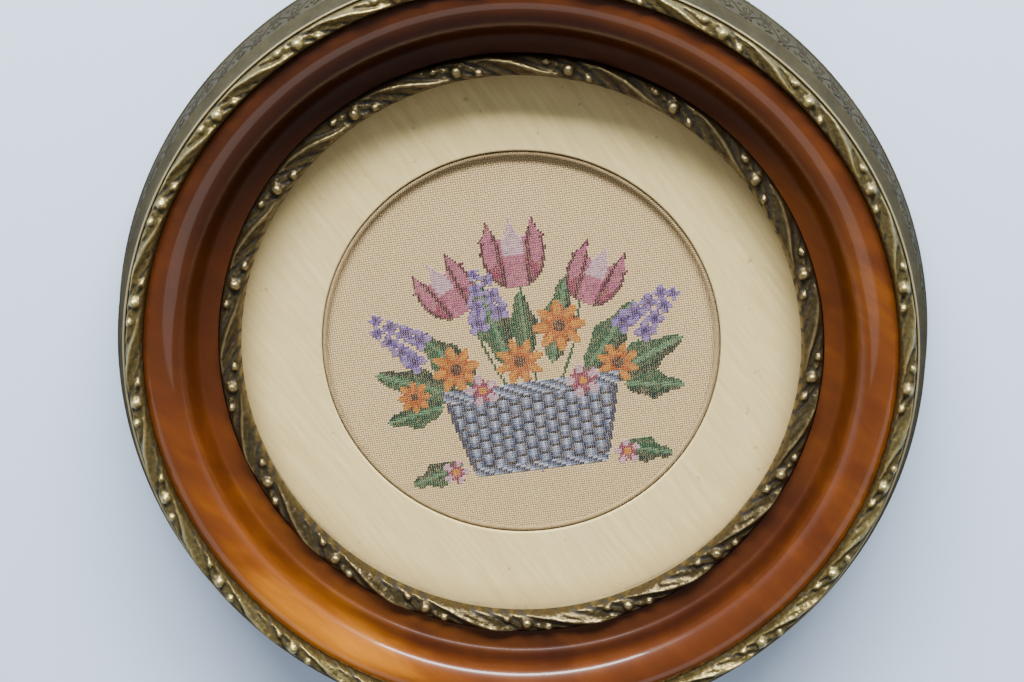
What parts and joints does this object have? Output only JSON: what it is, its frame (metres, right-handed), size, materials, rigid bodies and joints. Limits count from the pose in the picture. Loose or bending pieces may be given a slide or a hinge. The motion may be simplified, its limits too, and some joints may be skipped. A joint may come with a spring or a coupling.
{
  "type": "round framed needlepoint picture",
  "caption": "Round needlepoint picture on evenweave canvas in a cloth-covered mat, set in a deep amber wood frame with gilt leaf-and-bead ornament rings.",
  "frame": {"origin": "middle of the back, on the surface that the frame lies on", "axes": "+Z out of the picture's face, +Y towards the picture's top, +X to its right"},
  "size_m": [0.316, 0.316, 0.0393],
  "materials": {
    "aged_bronze": "aged grey bronze, satin, dark in the stamped scrolls",
    "aged_gilt": "aged olive gilt, satin, dark in the hollows",
    "amber_wood": "glossy amber lacquer",
    "khaki_gilt": "dull khaki gilt",
    "mat_cloth": "cream fine-woven cloth",
    "cord": "brown-gold cord",
    "canvas": "beige evenweave with stitched wool",
    "board": "plain grey-brown board"
  },
  "bodies": {
    "root": {"side_band": "aged_bronze", "outer_ornament": "aged_gilt", "wood_roll": "amber_wood", "wood_slope": "amber_wood", "inner_ornament": "aged_gilt", "sight_lip": "khaki_gilt", "mat": "mat_cloth", "window_cord": "cord", "needlework_canvas": "canvas", "backing_board": "board"}
  },
  "joints": []
}
